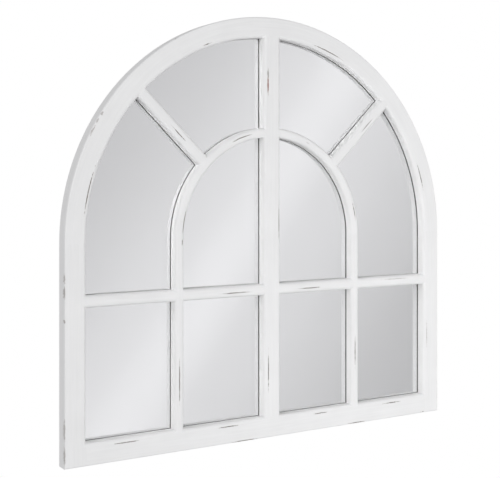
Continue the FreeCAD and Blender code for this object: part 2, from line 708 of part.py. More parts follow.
def hanger_strap():
    """A strip folded double round the ring's straight side, with two screw holes."""
    owner = body("strap_pattern")
    leaf = sketch_on(owner, "strap_leaf", "XZ_Plane")
    half = size("strap_width") / 2
    low = half - size("strap_length")
    leaf.addGeometry(Part.LineSegment(Vector(half, 0, 0), Vector(-half, 0, 0)), False)
    leaf.addGeometry(Part.LineSegment(Vector(-half, 0, 0), Vector(-half, low, 0)), False)
    tail = Part.Circle(Vector(0, low, 0), Vector(0, 0, 1), half)
    leaf.addGeometry(Part.ArcOfCircle(tail, math.pi, 2 * math.pi), False)
    leaf.addGeometry(Part.LineSegment(Vector(half, low, 0), Vector(half, 0, 0)), False)
    for first, second in ((0, 1), (1, 2), (2, 3), (3, 0)):
        leaf.addConstraint(Sketcher.Constraint("Coincident", first, 2, second, 1))
    pin_point(leaf, 0, 1, "strap_width / 2", "0")
    pin_point(leaf, 0, 2, "-strap_width / 2", "0")
    pin_point(leaf, 2, 3, "0", "strap_width / 2 - strap_length")
    pin_point(leaf, 1, 2, "-strap_width / 2", "strap_width / 2 - strap_length")
    pin_point(leaf, 2, 2, None, "strap_width / 2 - strap_length")
    folded = pad(owner, "strap_folded", leaf, "2 * strap_sheet")
    folded.Reversed = True
    knuckle = sketch_on(owner, "strap_knuckle", "YZ_Plane")
    circle(knuckle, PIVOT_RISE, "0", PIVOT_RISE)
    pad(owner, "strap_loop", knuckle, "strap_width", midplane=True)
    bore = sketch_on(owner, "strap_bore", "YZ_Plane")
    circle(bore, PIVOT_RISE, "0", "ring_wire / 2 + ring_clearance")
    through = owner.newObject("PartDesign::Pocket", "strap_loop_bore")
    through.Profile = bore
    through.Midplane = True
    bind(through, Length="2 * strap_width")
    holes = sketch_on(owner, "strap_holes", "XZ_Plane")
    circle(holes, "0", "-first_screw", "screw_diameter / 2 + joint_clearance")
    circle(holes, "0", "-first_screw - screw_spacing", "screw_diameter / 2 + joint_clearance")
    drilled = owner.newObject("PartDesign::Pocket", "strap_screw_holes")
    drilled.Profile = holes
    drilled.Midplane = True
    bind(drilled, Length="2 * strap_width")
    return owner


def hanger_ring():
    """A D of round wire: a straight side for the strap's loop, and a half circle for the hook."""
    owner = body("ring_pattern")
    path = sketch_on(owner, "ring_path", "XZ_Plane")
    half, corner = size("ring_width") / 2, size("ring_corner")
    low = half - size("ring_length")
    path.addGeometry(Part.LineSegment(Vector(0, 0, 0), Vector(half - corner, 0, 0)), False)
    turn = Part.Circle(Vector(half - corner, -corner, 0), Vector(0, 0, 1), corner)
    path.addGeometry(Part.ArcOfCircle(turn, 0, math.pi / 2), False)
    path.addGeometry(Part.LineSegment(Vector(half, -corner, 0), Vector(half, low, 0)), False)
    hook = Part.Circle(Vector(0, low, 0), Vector(0, 0, 1), half)
    path.addGeometry(Part.ArcOfCircle(hook, math.pi, 2 * math.pi), False)
    path.addGeometry(Part.LineSegment(Vector(-half, low, 0), Vector(-half, -corner, 0)), False)
    turn_back = Part.Circle(Vector(corner - half, -corner, 0), Vector(0, 0, 1), corner)
    path.addGeometry(Part.ArcOfCircle(turn_back, math.pi / 2, math.pi), False)
    path.addGeometry(Part.LineSegment(Vector(corner - half, 0, 0), Vector(0, 0, 0)), False)
    for first, first_end, second, second_end in ((0, 2, 1, 2), (1, 1, 2, 1), (2, 2, 3, 2), (3, 1, 4, 1),
                                                 (4, 2, 5, 2), (5, 1, 6, 1), (6, 2, 0, 1)):
        path.addConstraint(Sketcher.Constraint("Coincident", first, first_end, second, second_end))
    pin_point(path, 0, 1, "0", "0")
    pin_point(path, 0, 2, "ring_width / 2 - ring_corner", "0")
    pin_point(path, 1, 3, "ring_width / 2 - ring_corner", "-ring_corner")
    pin_point(path, 2, 1, None, "-ring_corner")
    pin_point(path, 3, 3, "0", "ring_width / 2 - ring_length")
    pin_point(path, 2, 2, "ring_width / 2", "ring_width / 2 - ring_length")
    pin_point(path, 4, 1, None, "ring_width / 2 - ring_length")
    pin_point(path, 5, 3, "ring_corner - ring_width / 2", "-ring_corner")
    pin_point(path, 4, 2, "-ring_width / 2", "-ring_corner")
    pin_point(path, 6, 1, "ring_corner - ring_width / 2", None)
    section = sketch_on(owner, "ring_section", "YZ_Plane")
    circle(section, "0", "0", "ring_wire / 2")
    wire = owner.newObject("PartDesign::AdditivePipe", "ring_wire_bent")
    wire.Profile = section
    wire.Spine = path
    return owner


def hanger_screw():
    """A pan-head wood screw, made with the underside of its head at zero and its point at -Z."""
    owner = body("screw_pattern")
    head, shank = "screw_head_diameter / 2", "screw_diameter / 2"
    crown = shoulder(head, "screw_head_height", "screw_head_round")
    turned(owner, "screw", [("0", "screw_head_height")] + crown[::-1] + [
        (head, "0"), (shank, "0"), (shank, "screw_diameter - screw_length"), ("0", "-screw_length")])
    return owner


def bumper():
    """A soft foot with its flat side stuck to the frame and a smaller flat side on the wall."""
    owner = body("bumper_pattern")
    radius = "bumper_diameter / 2"
    crown = shoulder(radius, "bumper_height", "bumper_round")
    turned(owner, "bumper", [("0", "0"), (radius, "0")] + crown + [("0", "bumper_height")])
    return owner


def hanger_frames():
    """The two hangers' own frames: X along the pivot, Y off the wood, Z up along the arch."""
    radius = size("overall_width") / 2 - (size("frame_face") - size("recess_overlap")) / 2
    back = -size("bumper_height")
    lean = size("hanger_angle")
    return {
        "right": Placement(on_arch(lean, radius, back), Rotation(Vector(0, -1, 0), lean)),
        "left": Placement(on_arch(180 - lean, radius, back), Rotation(Vector(0, 1, 0), lean)),
    }


def ring_rest_angle():
    """How far the hanging ring stands off the wood, because it lies on its strap."""
    lift = (2 * size("strap_sheet") + size("ring_wire") / 2 + size("ring_rest_gap")
            - evaluate(PIVOT_RISE))
    return math.degrees(math.asin(lift / size("ring_length")))


# ---------------------------------------------------------------------------
# Assembly
# ---------------------------------------------------------------------------
frame_ring = cut("frame_ring", disc("ring_outer", "overall_width", BACK, "frame_depth"),
                 disc("ring_inner", ARCH_INNER, BACK, "frame_depth"))
blanks = outer_frame_blanks()
blanks.update(upright_blanks(frame_ring))
blanks.update(inner_arch_blanks(blanks["centre_mullion"]))
blanks.update(spoke_blanks(frame_ring))
blanks.update(transom_blanks())
glued_frame = rounded_frame()

nodes, holes = joinery()

glass_back = "-(bumper_height + frame_depth - bar_depth - glass_thickness)"
board_back = "-(bumper_height + frame_depth - bar_depth - glass_thickness - board_thickness)"
nodes["mirror_glass"] = plate("mirror_glass", "glass_edge_gap", "glass_thickness", glass_back)
nodes["backing_board"] = plate("backing_board", "board_edge_gap", "board_thickness", board_back)

tab, slot = backing_tab(), tab_slot()
strap, ring, screw, foot = hanger_strap(), hanger_ring(), hanger_screw(), bumper()
screw_hole = drilling("screw_hole", "screw_diameter", "screw_length")
doc.recompute()

nodes["backing_tabs"] = copies("backing_tabs", tab, tab_places())
for number, place in enumerate(tab_places(), start=1):
    holes.append(copies("tab_slot_%d" % number, slot, [place]))

screws = []
for side, frame in hanger_frames().items():
    pivot = frame.multiply(Placement(Vector(0, evaluate(PIVOT_RISE), 0), Rotation()))
    swung = Placement(Vector(0, 0, 0), Rotation(Vector(1, 0, 0), ring_rest_angle()))
    nodes[side + "_hanger_strap"] = copies(side + "_hanger_strap", strap, [frame])
    nodes[side + "_hanger_ring"] = copies(side + "_hanger_ring", ring, [pivot.multiply(swung)])
    for down in (size("first_screw"), size("first_screw") + size("screw_spacing")):
        seat = Placement(Vector(0, 2 * size("strap_sheet"), -down), Rotation(Vector(1, 0, 0), -90))
        screws.append(frame.multiply(seat))
nodes["hanger_screws"] = copies("hanger_screws", screw, screws)
for number, place in enumerate(screws, start=1):
    middle = Placement(Vector(0, 0, -size("screw_length") / 2), Rotation())
    holes.append(copies("screw_hole_%d" % number, screw_hole, [place.multiply(middle)]))

inset = size("bumper_inset")
feet = [Placement(Vector(across, -size("bumper_height"), inset), Rotation(Vector(1, 0, 0), -90))
        for across in (inset - size("overall_width") / 2, size("overall_width") / 2 - inset)]
nodes["wall_bumpers"] = copies("wall_bumpers", foot, feet)

for name, blank in blanks.items():
    piece = doc.addObject("Part::Common", name + "_shaped")
    piece.Base = glued_frame
    piece.Tool = blank
    doc.recompute()
    reached = [hole for hole in holes if hole.Shape.BoundBox.intersect(blank.Shape.BoundBox)]
    drill = doc.addObject("Part::Compound", name + "_holes")
    drill.Links = reached
    nodes[name] = cut(name, piece, drill)
doc.recompute()

for name, node in nodes.items():
    node.Label = name
for thing in doc.Objects:
    if "Invalid" in thing.State or "Error" in thing.State:
        raise RuntimeError("%s could not be computed" % thing.Name)
for name, node in nodes.items():
    if node.Shape.isNull() or not node.Shape.isValid():
        raise RuntimeError("%s has no valid shape" % name)

os.makedirs("parts", exist_ok=True)
for name, node in nodes.items():
    node.Shape.exportStep("parts/%s.step" % name)
    print("%-22s %2d solids %12.1f mm3" % (name, len(node.Shape.Solids), node.Shape.Volume))
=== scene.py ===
import math

import bmesh
import bpy
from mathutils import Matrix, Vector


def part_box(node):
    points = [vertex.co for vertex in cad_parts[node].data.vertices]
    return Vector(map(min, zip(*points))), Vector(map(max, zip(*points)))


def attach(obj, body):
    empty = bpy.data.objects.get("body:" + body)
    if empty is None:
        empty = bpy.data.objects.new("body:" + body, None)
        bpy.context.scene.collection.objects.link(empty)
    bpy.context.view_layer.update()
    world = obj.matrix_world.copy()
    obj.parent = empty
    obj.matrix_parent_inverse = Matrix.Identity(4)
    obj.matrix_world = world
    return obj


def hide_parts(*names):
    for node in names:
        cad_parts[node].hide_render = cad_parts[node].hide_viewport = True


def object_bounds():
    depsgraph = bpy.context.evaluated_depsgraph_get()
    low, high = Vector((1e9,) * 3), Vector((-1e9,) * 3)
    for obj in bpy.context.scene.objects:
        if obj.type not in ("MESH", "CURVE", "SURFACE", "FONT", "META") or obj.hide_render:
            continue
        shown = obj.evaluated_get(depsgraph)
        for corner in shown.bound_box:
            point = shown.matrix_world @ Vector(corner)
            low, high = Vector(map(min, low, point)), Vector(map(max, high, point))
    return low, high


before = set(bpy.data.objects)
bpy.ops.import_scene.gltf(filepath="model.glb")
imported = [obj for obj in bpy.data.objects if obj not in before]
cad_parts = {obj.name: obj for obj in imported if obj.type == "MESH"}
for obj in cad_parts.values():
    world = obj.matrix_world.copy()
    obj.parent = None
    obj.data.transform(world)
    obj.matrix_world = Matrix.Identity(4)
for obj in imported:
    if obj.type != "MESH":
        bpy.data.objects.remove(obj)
cad_low, cad_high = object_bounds()

# The camera stands in front of the mirror and to its left, a little above its middle. It is
# turned to the right and held level, so every upright stays upright. Its picture is slid down
# to hold the whole mirror, as a shift lens does.
camera_place = (-0.8867, -1.3966, 0.4177)
camera_turn = 31.67
camera = bpy.data.cameras.new("camera")
camera.lens = 72.4
camera.sensor_width = 36
camera.shift_x = -0.0012
camera.shift_y = -0.1194
camera_object = bpy.data.objects.new("camera", camera)
camera_object.location = camera_place
camera_object.rotation_euler = (math.radians(90), 0, math.radians(-camera_turn))
scene = bpy.context.scene
scene.collection.objects.link(camera_object)
scene.camera = camera_object
scene.view_settings.view_transform = "Standard"

# The room is a plain pale studio. The panes show one broad bright streak of it, which climbs
# from low on the left to high on the right and falls away to grey on both sides. A bright wall
# on the left lights the bars' sides by way of the mirror, and isn't seen in the panes.
white = (1, 1, 1, 1)
room_front = "#AAAAAB"
room_behind = "#C4C4C5"
room_blend = 0.5
least_ahead = 0.15
bright_wall = (3.6, 3.6, 3.6, 1)
wall_starts, wall_ends = 0.30, 0.05
wall_corner = 0.2
streak_slope = 0.75
streak_from, streak_to = 0.38, 1.06
streak_shades = (
    (0.03, "#D1D1D2"),
    (0.20, "#E0E0E1"),
    (0.33, "#EDEDEE"),
    (0.39, "#F5F5F6"),
    (0.45, "#F2F2F3"),
    (0.50, "#E9E9EA"),
    (0.65, "#DFDFE0"),
    (0.81, "#D2D2D3"),
    (0.97, "#C6C6C7"),
)


def add(tree, kind, sockets=None, **settings):
    """One shader node. Each socket is given a value or the output that feeds it."""
    node = tree.nodes.new("ShaderNode" + kind)
    for name, value in settings.items():
        setattr(node, name, value)
    for socket, value in (sockets or {}).items():
        if isinstance(value, bpy.types.NodeSocket):
            tree.links.new(value, node.inputs[socket])
        else:
            node.inputs[socket].default_value = value
    return node


def paint(hex_code):
    """The linear colour of an sRGB hex value."""
    parts = [int(hex_code[i:i + 2], 16) / 255 for i in (1, 3, 5)]
    straight = [p / 12.92 if p <= 0.04045 else ((p + 0.055) / 1.055) ** 2.4 for p in parts]
    return (*straight, 1)


world = bpy.data.worlds.new("studio")
world.use_nodes = True
scene.world = world
sky = world.node_tree
sky.nodes.clear()

# Each direction, as seen by an eye that looks out of the mirror into the room.
look = add(sky, "TexCoord").outputs["Generated"]
part = add(sky, "SeparateXYZ", {0: look})
towards = add(sky, "Math", {0: part.outputs["Y"], 1: -1.0}, operation="MULTIPLY").outputs[0]
ahead = add(sky, "Math", {0: towards, 1: least_ahead}, operation="MAXIMUM").outputs[0]
aside = add(sky, "Math", {0: part.outputs["X"], 1: ahead}, operation="DIVIDE").outputs[0]
rise = add(sky, "Math", {0: part.outputs["Z"], 1: ahead}, operation="DIVIDE").outputs[0]
lean = add(sky, "Math", {0: rise, 1: -streak_slope, 2: aside}, operation="MULTIPLY_ADD").outputs[0]

# The streak, from its left side to its right.
streak = add(
    sky, "MapRange", {"Value": lean, "From Min": streak_from, "From Max": streak_to}
).outputs[0]
shades = add(sky, "ValToRGB", {0: streak})
shades.color_ramp.interpolation = "CARDINAL"
while len(shades.color_ramp.elements) < len(streak_shades):
    shades.color_ramp.elements.new(0.5)
for element, (position, shade) in zip(shades.color_ramp.elements, streak_shades):
    element.position = position
    element.color = paint(shade)

# The bright wall, for light that has bounced off something matt already.
path = add(sky, "LightPath")
beside = add(
    sky, "MapRange", {"Value": lean, "From Min": wall_starts, "From Max": wall_ends}
).outputs[0]
before = add(
    sky, "MapRange", {"Value": towards, "From Min": 0.0, "From Max": wall_corner}
).outputs[0]
bounced = add(sky, "Math", {0: path.outputs["Diffuse Depth"], 1: 1.0}, operation="MINIMUM").outputs[0]
walled = add(sky, "Math", {0: beside, 1: before}, operation="MULTIPLY").outputs[0]
walled = add(sky, "Math", {0: walled, 1: bounced}, operation="MULTIPLY").outputs[0]
around = add(
    sky, "Mix", {0: walled, 6: shades.outputs[0], 7: bright_wall}, data_type="RGBA"
).outputs[2]

# The soft light on everything else, and the white that the camera sees behind the mirror.
facing = add(
    sky, "MapRange", {"Value": towards, "From Min": -room_blend, "From Max": room_blend}
).outputs[0]
soft_light = add(
    sky, "Mix", {0: facing, 6: paint(room_behind), 7: paint(room_front)}, data_type="RGBA"
).outputs[2]
mirrored = add(
    sky, "Math", {0: path.outputs["Is Glossy Ray"], 1: path.outputs["Is Transmission Ray"]},
    operation="MAXIMUM",
).outputs[0]
in_panes = add(sky, "Mix", {0: mirrored, 6: soft_light, 7: around}, data_type="RGBA").outputs[2]
backdrop = add(
    sky, "Mix", {0: path.outputs["Is Camera Ray"], 6: in_panes, 7: white}, data_type="RGBA"
).outputs[2]
background = add(sky, "Background", {"Color": backdrop, "Strength": 1.0})
add(sky, "OutputWorld", {"Surface": background.outputs[0]})

# The floor is smooth pale board, well below the mirror, which hangs on a wall. Part of it
# is white by itself to the camera, so that its edge melts into the room, and the rest keeps
# the soft shadow.
floor_height = -1.2
floor_half = 2.0
floor_patch = 1.333
floor_pale = "#EFEFF0"
floor_paler = "#F6F6F6"
floor_glow = 0.8
floor_corners = ((-1, -1), (1, -1), (1, 1), (-1, 1))


def new_material(name):
    """A material with nothing in it yet."""
    material = bpy.data.materials.new(name)
    material.use_nodes = True
    material.node_tree.nodes.clear()
    return material


floor_mesh = bpy.data.meshes.new("floor")
floor_mesh.from_pydata(
    [(x * floor_half, y * floor_half, floor_height) for x, y in floor_corners], [], [(0, 1, 2, 3)]
)
floor = bpy.data.objects.new("floor", floor_mesh)
scene.collection.objects.link(floor)
board = new_material("pale_floor_board")
tree = board.node_tree
mottle = add(tree, "TexNoise", {"Scale": 2 * floor_half / floor_patch, "Detail": 4.0}).outputs[0]
tone = add(
    tree, "Mix", {0: mottle, 6: paint(floor_pale), 7: paint(floor_paler)}, data_type="RGBA"
).outputs[2]
matt = add(tree, "BsdfDiffuse", {"Color": tone})
glow = add(tree, "Emission", {"Color": white, "Strength": 1.0})
path = add(tree, "LightPath")
share = add(tree, "Math", {0: path.outputs["Is Camera Ray"], 1: floor_glow}, operation="MULTIPLY")
mixed = add(tree, "MixShader", {0: share.outputs[0], 1: matt.outputs[0], 2: glow.outputs[0]})
add(tree, "OutputMaterial", {"Surface": mixed.outputs[0]})
floor_mesh.materials.append(board)

# Two soft boxes light the frame. The key stands far off to the left in front, and the mirror
# throws its light back on the bars' left sides too. The small one stands close before the
# right-hand bottom corner, so that the frame grows paler from left to right and downwards.
for name, place, width, watts, mirrored_too in (
    ("key_soft_box", (-3.2, -3.8, 1.4), 2.2, 96.0, True),
    ("corner_soft_box", (0.5, -1.15, 0.1), 0.5, 5.5, False),
):
    lamp = bpy.data.lights.new(name, "AREA")
    lamp.shape = "SQUARE"
    lamp.size = width
    lamp.energy = watts
    box = bpy.data.objects.new(name, lamp)
    box.location = place
    aim = (cad_low + cad_high) / 2 - box.location
    box.rotation_euler = aim.to_track_quat("-Z", "Y").to_euler()
    box.visible_glossy = mirrored_too
    box.visible_transmission = mirrored_too
    scene.collection.objects.link(box)

# The frame is beech, sawn and shaped, glued up and sprayed satin white over faint brushed
# streaks. Its arrises are rubbed through to dark wood in short thin lines. Its back is bare
# under a dusting of the spray. The backs of the bars, which lie on the glass, get a painted
# dark grey that stands in for the shade in the thin line where each bar meets its image.
MM = 0.001
upright, level = 90, 0
spoke_angle = 44
arch_centre = 324.5
arch_middle = 338.75
inner_arch_middle = 169.0
front_face = -27.0

paint_white = "#ECECEC"
paint_shade = "#E6E6E6"
streak_length, streak_width = 60.0, 2.6
cloud_size = 55.6
tone_from, tone_to = 0.7, 1.3
satin_from, satin_to = 0.42, 0.56
satin_specular = 0.3
brush_height = 0.02
paint_film = 0.12

rubbed_wood = "#5E554E"
rubbed_edge = "#A39B94"
red_wood = "#8C4A3C"
rubbed_roughness = 0.8
fray_size = 9.09
fray = (10, 1.2, 1.2)
speck_size = 2.0
speck_seed = 40
speck_strength = 1.6
mark_depth = 7.0
mark_edge, mark_core = 1.1, 0.6

beech_pale = "#CFAE86"
beech_dark = "#A98158"
# Painted shade: dark grey on the bars' backs, to deepen the shaded line where each bar meets its
# image
bar_back_painted_shade = "#7A7876"
bare_roughness = 0.75
turns_away, faces_wall = 0.5, 0.9
bars_end, back_starts = -9.0, -7.0
dust_size = 14.3
dust_seed = 80
dust_from, dust_to, dust_cover = 0.42, 0.66, 0.55


def straight_grain(tree, angle):
    """Millimetres along, across and into a straight piece that leans at this angle."""
    place = add(tree, "TexCoord").outputs["Object"]
    centre = (0, 0, arch_centre * MM)
    centred = add(tree, "VectorMath", {0: place, 1: centre}, operation="SUBTRACT").outputs[0]
    turn = math.radians(angle)
    along = (math.cos(turn) / MM, 0, math.sin(turn) / MM)
    across = (-math.sin(turn) / MM, 0, math.cos(turn) / MM)
    into = (0, 1 / MM, 0)
    lengths = [
        add(tree, "VectorMath", {0: centred, 1: way}, operation="DOT_PRODUCT").outputs["Value"]
        for way in (along, across, into)
    ]
    return add(tree, "CombineXYZ", dict(enumerate(lengths))).outputs[0]


def curved_grain(tree, radius):
    """Millimetres round, out from the centre of and into a curved piece of this radius."""
    place = add(tree, "TexCoord").outputs["Object"]
    centre = (0, 0, arch_centre * MM)
    centred = add(tree, "VectorMath", {0: place, 1: centre}, operation="SUBTRACT").outputs[0]
    part = add(tree, "SeparateXYZ", {0: centred}).outputs
    turn = add(tree, "Math", {0: part["Z"], 1: part["X"]}, operation="ARCTAN2").outputs[0]
    along = add(tree, "Math", {0: turn, 1: radius}, operation="MULTIPLY").outputs[0]
    flat = add(tree, "CombineXYZ", {0: part["X"], 1: part["Z"]}).outputs[0]
    out = add(tree, "VectorMath", {0: flat}, operation="LENGTH").outputs["Value"]
    across = add(tree, "Math", {0: out, 1: 1 / MM}, operation="MULTIPLY").outputs[0]
    into = add(tree, "Math", {0: part["Y"], 1: 1 / MM}, operation="MULTIPLY").outputs[0]
    return add(tree, "CombineXYZ", {0: along, 1: across, 2: into}).outputs[0]


def sprayed_coat(tree, grain, seed):
    """The white coat: the streaks under it, its colour, its roughness and its height."""
    stretch = (1 / streak_length, 1 / streak_width, 1 / streak_width)
    stretched = add(tree, "VectorMath", {0: grain, 1: stretch}, operation="MULTIPLY").outputs[0]
    streaks = add(
        tree, "TexNoise", {"Vector": stretched, "W": seed, "Scale": 1.0, "Detail": 3.0},
        noise_dimensions="4D",
    ).outputs[0]
    cloud = add(
        tree, "TexNoise", {"Vector": grain, "W": seed, "Scale": 1 / cloud_size, "Detail": 2.0},
        noise_dimensions="4D",
    ).outputs[0]
    tone = add(tree, "Math", {0: streaks, 1: cloud}, operation="ADD").outputs[0]
    tone = add(
        tree, "MapRange", {"Value": tone, "From Min": tone_from, "From Max": tone_to}
    ).outputs[0]
    colour = add(
        tree, "Mix", {0: tone, 6: paint(paint_shade), 7: paint(paint_white)}, data_type="RGBA"
    ).outputs[2]
    gloss = add(
        tree, "MapRange", {"Value": streaks, "To Min": satin_from, "To Max": satin_to}
    ).outputs[0]
    height = add(tree, "Math", {0: streaks, 1: brush_height * MM}, operation="MULTIPLY").outputs[0]
    return streaks, colour, gloss, height


def rubbed_through(tree, grain, seed, marks, colour, gloss, height):
    """The same coat with each mark worn through it, its outline frayed and broken up."""
    wander = add(
        tree, "TexNoise", {"Vector": grain, "W": seed, "Scale": 1 / fray_size, "Detail": 3.0},
        noise_dimensions="4D",
    ).outputs["Color"]
    shift = add(
        tree, "VectorMath", {0: wander, 1: (0.5, 0.5, 0.5)}, operation="SUBTRACT"
    ).outputs[0]
    frayed = add(
        tree, "VectorMath", {0: shift, 1: fray, 2: grain}, operation="MULTIPLY_ADD"
    ).outputs[0]
    specks = add(
        tree, "TexNoise",
        {"Vector": grain, "W": seed + speck_seed, "Scale": 1 / speck_size, "Detail": 2.0},
        noise_dimensions="4D",
    ).outputs[0]
    broken = add(
        tree, "Math", {0: specks, 1: speck_strength, 2: -speck_strength / 2},
        operation="MULTIPLY_ADD",
    ).outputs[0]
    rubbed = 0.0
    for start, end, across, width, strength, wood in marks:
        middle = ((start + end) / 2, across, front_face)
        shrink = (2 / abs(end - start), 1 / width, 1 / mark_depth)
        off = add(tree, "VectorMath", {0: frayed, 1: middle}, operation="SUBTRACT").outputs[0]
        scaled = add(tree, "VectorMath", {0: off, 1: shrink}, operation="MULTIPLY").outputs[0]
        far = add(tree, "VectorMath", {0: scaled}, operation="LENGTH").outputs["Value"]
        ragged = add(tree, "Math", {0: far, 1: broken}, operation="ADD").outputs[0]
        mark = add(
            tree, "MapRange",
            {"Value": ragged, "From Min": mark_edge, "From Max": mark_core, "To Max": strength},
        ).outputs[0]
        shade = add(
            tree, "Mix", {0: mark, 6: paint(rubbed_edge), 7: paint(wood)}, data_type="RGBA"
        ).outputs[2]
        colour = add(tree, "Mix", {0: mark, 6: colour, 7: shade}, data_type="RGBA").outputs[2]
        rubbed = add(tree, "Math", {0: rubbed, 1: mark}, operation="MAXIMUM").outputs[0]
    gloss = add(tree, "Mix", {0: rubbed, 2: gloss, 3: rubbed_roughness}).outputs[0]
    height = add(
        tree, "Math", {0: rubbed, 1: -paint_film * MM, 2: height}, operation="MULTIPLY_ADD"
    ).outputs[0]
    return colour, gloss, height


def wall_side(tree, grain, seed, streaks):
    """Where a piece faces the wall, its bare dusted wood, and the painted shade on the bars' backs.
    """
    normal = add(tree, "TexCoord").outputs["Normal"]
    wallward = add(tree, "SeparateXYZ", {0: normal}).outputs["Y"]
    facing = add(
        tree, "MapRange", {"Value": wallward, "From Min": turns_away, "From Max": faces_wall}
    ).outputs[0]
    depth = add(tree, "SeparateXYZ", {0: grain}).outputs["Z"]
    at_back = add(
        tree, "MapRange", {"Value": depth, "From Min": bars_end, "From Max": back_starts}
    ).outputs[0]
    dusting = add(
        tree, "TexNoise",
        {"Vector": grain, "W": seed + dust_seed, "Scale": 1 / dust_size, "Detail": 6.0},
        noise_dimensions="4D",
    ).outputs[0]
    dusted = add(
        tree, "MapRange",
        {"Value": dusting, "From Min": dust_from, "From Max": dust_to, "To Max": dust_cover},
    ).outputs[0]
    wood = add(
        tree, "Mix", {0: streaks, 6: paint(beech_dark), 7: paint(beech_pale)}, data_type="RGBA"
    ).outputs[2]
    wood = add(tree, "Mix", {0: dusted, 6: wood, 7: paint(paint_shade)}, data_type="RGBA").outputs[2]
    # The bars' backs get the painted shade, and the frame's back keeps its dusted bare wood.
    back = add(tree, "Mix", {0: at_back, 6: paint(bar_back_painted_shade), 7: wood}, data_type="RGBA").outputs[2]
    return facing, back


def lay_on(material, nodes):
    """Give these nodes of the part this material."""
    for node in nodes:
        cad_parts[node].material_slots[0].material = material


def painted_wood(node, grain_of, grain_size, marks=(), seed=0):
    """Satin white sprayed over wood, its own rubbed marks, bare back and painted shade on bar backs.
    """
    material = new_material("sprayed_beech_" + node)
    tree = material.node_tree
    grain = grain_of(tree, grain_size)
    streaks, colour, gloss, height = sprayed_coat(tree, grain, seed)
    if marks:
        colour, gloss, height = rubbed_through(tree, grain, seed, marks, colour, gloss, height)
    facing, back = wall_side(tree, grain, seed, streaks)
    colour = add(tree, "Mix", {0: facing, 6: colour, 7: back}, data_type="RGBA").outputs[2]
    gloss = add(tree, "Mix", {0: facing, 2: gloss, 3: bare_roughness}).outputs[0]
    relief = add(tree, "Bump", {"Height": height, "Distance": 1.0}).outputs[0]
    finish = add(tree, "BsdfPrincipled", {
        "Base Color": colour,
        "Roughness": gloss,
        "Specular IOR Level": satin_specular,
        "Normal": relief,
    })
    add(tree, "OutputMaterial", {"Surface": finish.outputs[0]})
    lay_on(material, [node])


def on_face(start, end, across, width=0.9, strength=0.9, wood=rubbed_wood):
    """A rubbed line on the front, in millimetres along and across its piece."""
    return (start, end, across, width, strength, wood)


def at_height(low, high, aside, width=0.9, strength=0.9, wood=rubbed_wood):
    """A rubbed line on an upright, its ends given as heights from the bottom edge."""
    return on_face(low - arch_centre, high - arch_centre, -aside, width, strength, wood)


def on_rail(start, end, height, width=0.9, strength=0.9):
    """A rubbed line on a level piece, with its height from the bottom edge."""
    return on_face(start, end, height - arch_centre, width, strength)


def on_arch(start, end, across, width=0.9, strength=0.9, middle=arch_middle):
    """A rubbed line on a curved piece, its ends given in degrees."""
    return on_face(math.radians(start) * middle, math.radians(end) * middle, across, width, strength)


# The straight sides and the foot of the frame.
painted_wood("left_stile", straight_grain, upright, [
    at_height(266, 283, -355.2, 0.9, 0.5),
    at_height(245, 263, -355.2, 0.9, 0.6),
    at_height(210, 215, -355.2, 0.9, 0.6),
    at_height(38, 73, -355.2, 0.8, 0.5),
    at_height(3, 34, -355.2, 0.9, 0.55),
], seed=1)
painted_wood("right_stile", straight_grain, upright, [
    at_height(116.7, 163.4, 329.5, 0.7, 0.6),
    at_height(2, 62, 355.2, 1.2),
], seed=2)
painted_wood("bottom_rail", straight_grain, level, [
    on_rail(-280, -237, 26.6),
    on_rail(-101, -62, 27.2),
    on_rail(81, 110, 26.9),
    on_rail(228, 270, 26.6),
    on_rail(-79, -27, 1.0),
    on_rail(151, 190, 1.5),
    on_rail(313, 355, 2.2),
], seed=3)

# The three boards of the half-round head.
painted_wood("left_arch", curved_grain, arch_middle, [
    on_arch(147.0, 148.2, 353.2, 1.8, 0.5),
    on_arch(148.8, 150.2, 353.6, 1.4, 0.45),
    on_arch(150.8, 153.6, 353.2, 1.5, 0.5),
    on_arch(160.6, 172.8, 328.1),
], seed=4)
painted_wood("crown_arch", curved_grain, arch_middle, [
    on_arch(118.5, 124.0, 355.3, 0.9, 0.35),
    on_arch(110.3, 113.3, 327.1),
    on_arch(64.9, 75.9, 327.2),
], seed=5)
painted_wood("right_arch", curved_grain, arch_middle, [on_arch(13.6, 21.4, 329.6)], seed=6)

# The uprights, with a knock down to red wood near the top of the middle one.
painted_wood("centre_mullion", straight_grain, upright, [
    at_height(555.6, 585, -8.5, 1.5, 0.9, red_wood),
    at_height(580, 598, -8.3, 1.5, 0.7),
    at_height(318.8, 379, 12.9, 1.1),
    at_height(78.3, 138.2, -7.8),
], seed=7)
painted_wood("left_inner_leg", straight_grain, upright, [
    at_height(316, 330, -164.8),
    at_height(73.1, 142.1, -169.7),
], seed=8)
painted_wood("right_inner_leg", straight_grain, upright, [at_height(95, 149.7, 168.2)], seed=9)

# The inner arch and the two spokes above it.
painted_wood("left_inner_arch", curved_grain, inner_arch_middle, [
    on_arch(103.6, 116.5, 169.7, middle=inner_arch_middle),
    on_arch(162.6, 178, 164.2, middle=inner_arch_middle),
], seed=10)
painted_wood("right_inner_arch", curved_grain, inner_arch_middle, [
    on_arch(8.2, 18.6, 170.6, middle=inner_arch_middle),
    on_arch(64, 66, 168.3, 0.7, 0.5, middle=inner_arch_middle),
], seed=11)
painted_wood("left_spoke", straight_grain, 180 - spoke_angle, [on_face(221, 252, 1.4)], seed=12)
painted_wood("right_spoke", straight_grain, spoke_angle, [on_face(249, 286, -0.9, 0.7)], seed=13)

# The crossbar, in four lengths.
painted_wood("left_outer_transom", straight_grain, level, seed=14)
painted_wood("left_inner_transom", straight_grain, level, [on_rail(-98, -42, 237.6)], seed=15)
painted_wood("right_inner_transom", straight_grain, level, [on_rail(54, 98, 237.3)], seed=16)
painted_wood("right_outer_transom", straight_grain, level, [
    on_rail(228, 287, 243.0, 0.7, 0.5),
], seed=17)

